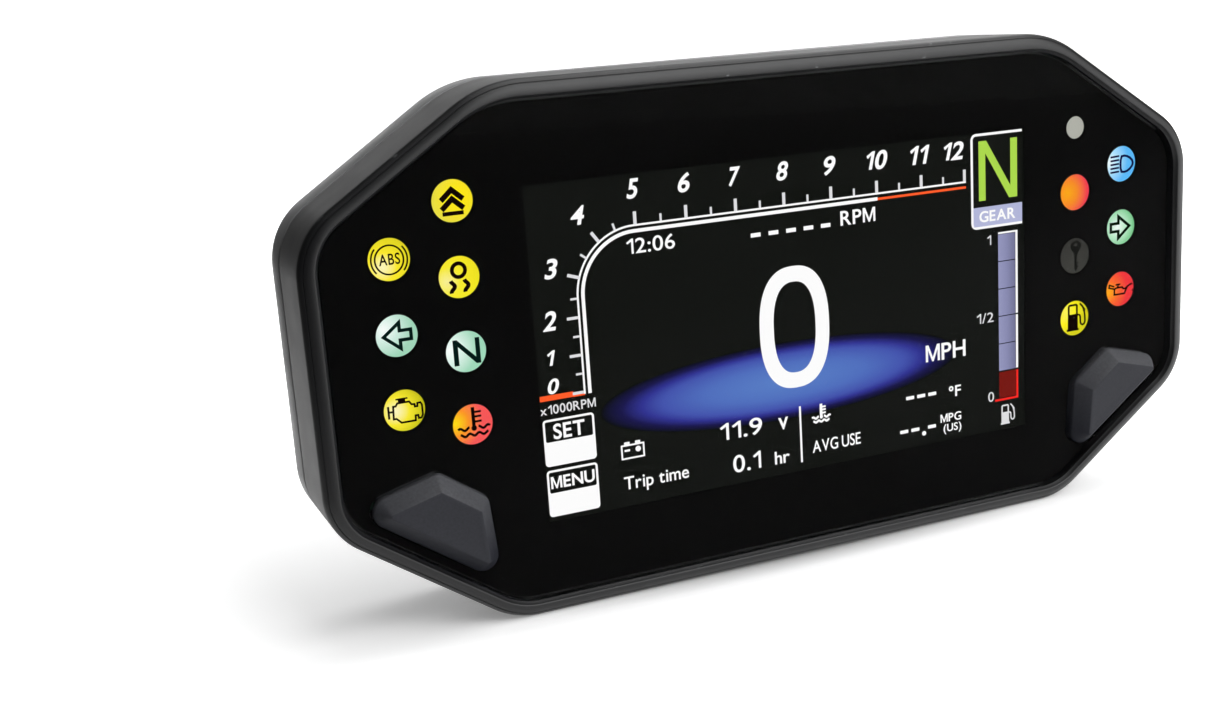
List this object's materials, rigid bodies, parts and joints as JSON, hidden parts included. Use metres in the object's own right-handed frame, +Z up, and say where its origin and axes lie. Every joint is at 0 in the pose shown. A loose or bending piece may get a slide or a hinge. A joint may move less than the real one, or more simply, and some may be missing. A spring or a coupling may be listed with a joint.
{
  "type": "motorcycle instrument cluster",
  "caption": "Octagonal sealed instrument cluster with a colour display, tell-tale lamps in side columns and a rubber button in each lower corner.",
  "frame": {"origin": "middle of the bounding box at its bottom, on the flat bottom edge that the cluster stands on", "axes": "+X to the rider's right across the face, -Y out of the face towards the rider, +Z up"},
  "size_m": [0.1904, 0.0356, 0.0981],
  "materials": {
    "housing_plastic": "fine satin moulded",
    "cover_plastic": "satin moulded",
    "lens_acrylic": "polished clear acrylic",
    "black_film": "printed black film",
    "panel_glass": "polished",
    "zinc_steel": "zinc plated",
    "light_guide": "clear moulded",
    "foam": "closed-cell foam",
    "seal_silicone": "silicone",
    "button_rubber": "matt silicone",
    "board_laminate": "solder mask",
    "white_plastic": "moulded white",
    "diffuser_sheet": "translucent sheet",
    "led_package": "white package, yellow phosphor",
    "polyimide": "amber film",
    "black_nylon": "moulded",
    "brass": "knurled",
    "aluminium_can": "drawn can"
  },
  "bodies": {
    "root": {"applique": "black_film", "backlight_guide": "light_guide", "baffle_left": "white_plastic", "baffle_right": "white_plastic", "board_screw_1": "zinc_steel", "board_screw_2": "zinc_steel", "board_screw_3": "zinc_steel", "board_screw_4": "zinc_steel", "breather_cap": "black_nylon", "breather_membrane": "white_plastic", "buzzer": "black_nylon", "capacitor": "aluminium_can", "case_screw_1": "zinc_steel", "case_screw_2": "zinc_steel", "case_screw_3": "zinc_steel", "case_screw_4": "zinc_steel", "case_screw_5": "zinc_steel", "case_screw_6": "zinc_steel", "connector_header": "black_nylon", "connector_seal": "seal_silicone", "connector_shell": "black_nylon", "diffuser_left": "diffuser_sheet", "diffuser_right": "diffuser_sheet", "display_flex": "polyimide", "display_frame": "zinc_steel", "display_pad": "foam", "display_panel": "panel_glass", "flex_connector": "black_nylon", "front_housing": "housing_plastic", "front_lens": "lens_acrylic", "housing_seal": "seal_silicone", "lamp_led_left_1": "led_package", "lamp_led_left_2": "led_package", "lamp_led_left_3": "led_package", "lamp_led_left_4": "led_package", "lamp_led_left_5": "led_package", "lamp_led_left_6": "led_package", "lamp_led_left_7": "led_package", "lamp_led_right_1": "led_package", "lamp_led_right_2": "led_package", "lamp_led_right_3": "led_package", "lamp_led_right_4": "led_package", "lamp_led_right_5": "led_package", "lamp_led_right_6": "led_package", "lens_seal": "seal_silicone", "light_sensor": "black_nylon", "main_board": "board_laminate", "microcontroller": "black_nylon", "mount_insert_1": "brass", "mount_insert_2": "brass", "mount_insert_3": "brass", "rear_cover": "cover_plastic", "switch_body_left": "black_nylon", "switch_body_right": "black_nylon"},
    "button_left": {"button_left": "button_rubber"},
    "button_right": {"button_right": "button_rubber"},
    "switch_stem_left": {"switch_stem_left": "white_plastic"},
    "switch_stem_right": {"switch_stem_right": "white_plastic"}
  },
  "joints": [
    {"name": "button_left_press", "type": "slide", "parent": "root", "child": "button_left", "axis": [0, 1, 0], "range_m": [0, 0.0009], "stiffness_N_per_m": 2500},
    {"name": "button_right_press", "type": "slide", "parent": "root", "child": "button_right", "axis": [0, 1, 0], "range_m": [0, 0.0009], "stiffness_N_per_m": 2500},
    {"name": "switch_left_press", "type": "slide", "parent": "root", "child": "switch_stem_left", "axis": [0, 1, 0], "range_m": [0, 0.0009]},
    {"name": "switch_right_press", "type": "slide", "parent": "root", "child": "switch_stem_right", "axis": [0, 1, 0], "range_m": [0, 0.0009]}
  ],
  "couplings": [
    {"joint": "switch_left_press", "follows": "button_left_press", "ratio": 1},
    {"joint": "switch_right_press", "follows": "button_right_press", "ratio": 1}
  ]
}
